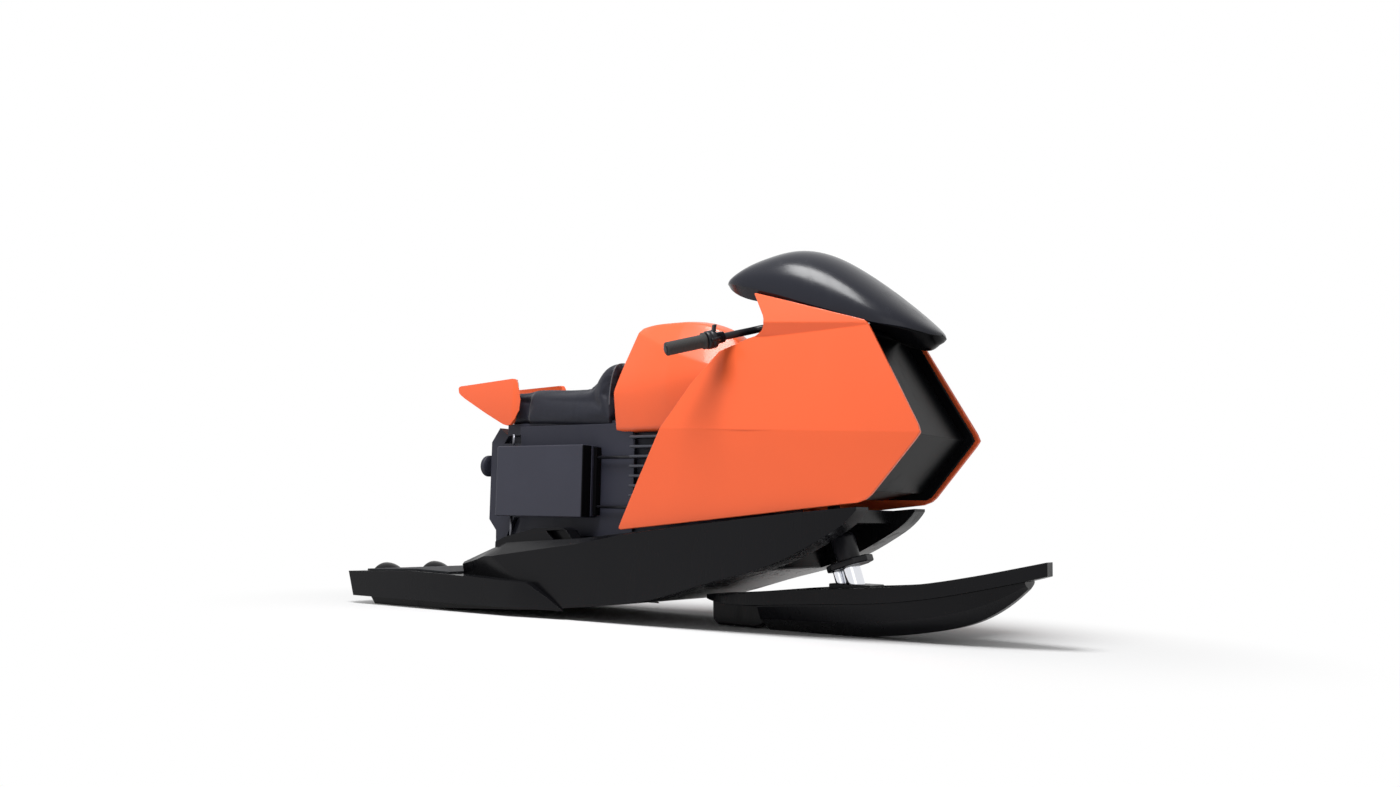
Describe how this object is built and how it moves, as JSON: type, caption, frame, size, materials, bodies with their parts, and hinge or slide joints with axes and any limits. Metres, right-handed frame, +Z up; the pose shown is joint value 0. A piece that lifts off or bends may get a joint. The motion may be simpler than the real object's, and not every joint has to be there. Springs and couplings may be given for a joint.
{
  "type": "straddle personal watercraft",
  "caption": "Electric straddle watercraft with a forked flat hull, motorcycle-like body, domed screen, handlebar and a steered front ski.",
  "frame": {"origin": "middle of the craft's box, at the level that the hull's stern and the ski stand on", "axes": "+X runs forward to the ski's tip, +Y to the port side, +Z up"},
  "size_m": [2.49, 0.7562, 1.1551],
  "materials": {
    "hull_gloss": "gloss black moulded hull",
    "orange_gloss": "gloss orange painted panel",
    "dark_satin": "dark grey satin shell",
    "screen_gloss": "gloss black moulded screen",
    "infill_gloss": "gloss black panel",
    "case_satin": "dark grey satin case",
    "mat_foam": "grooved soft mat",
    "seat_cover": "soft matt cover over foam",
    "grip_rubber": "ribbed soft rubber",
    "black_metal": "satin black coat",
    "polished_steel": "polished tube",
    "steel": "brushed",
    "alloy": "dark anodised fins",
    "motor": "plain"
  },
  "bodies": {
    "hull": {"hull": "hull_gloss", "rear_platform": "hull_gloss", "traction_mat": "mat_foam", "drive_motors": "motor", "intake_grates": "black_metal", "body_core": "dark_satin", "charge_cap": "dark_satin", "seat_base": "dark_satin", "seat_pad": "seat_cover", "tank_cowl": "orange_gloss", "front_infill": "infill_gloss", "screen": "screen_gloss", "steering_head": "black_metal", "lower_bush": "black_metal", "pump_housing_left": "alloy", "pump_housing_right": "alloy", "foot_guard_left": "hull_gloss", "foot_guard_right": "hull_gloss", "battery_case_left": "case_satin", "battery_case_right": "case_satin", "side_rails_left": "black_metal", "side_rails_right": "black_metal", "cooling_fins_left": "alloy", "cooling_fins_right": "alloy", "tail_wing_left": "orange_gloss", "tail_wing_right": "orange_gloss", "fairing_left": "orange_gloss", "fairing_right": "orange_gloss"},
    "steering": {"steering_shaft": "black_metal", "column_yoke": "black_metal", "clamp_plate": "black_metal", "strut_tubes": "polished_steel", "handlebar": "black_metal", "bar_clamp": "black_metal", "ski_deck": "hull_gloss", "ski_hull": "hull_gloss", "ski_fin": "hull_gloss", "ski_saddle": "black_metal", "grip_left": "grip_rubber", "grip_right": "grip_rubber", "control_left": "black_metal", "control_right": "black_metal"},
    "impeller_left": {"impeller_left": "steel"},
    "impeller_right": {"impeller_right": "steel"}
  },
  "joints": [
    {"name": "steering_turn", "type": "hinge", "parent": "hull", "child": "steering", "pos_m": [0.657, 0, 0.181], "axis": [-0.3173, 0, 0.9483], "range_deg": [-15, 15]},
    {"name": "impeller_left_spin", "type": "hinge", "parent": "hull", "child": "impeller_left", "pos_m": [-1.06, 0.118, 0.062], "axis": [1, 0, 0], "continuous": true},
    {"name": "impeller_right_spin", "type": "hinge", "parent": "hull", "child": "impeller_right", "pos_m": [-1.06, -0.118, 0.062], "axis": [1, 0, 0], "continuous": true}
  ]
}
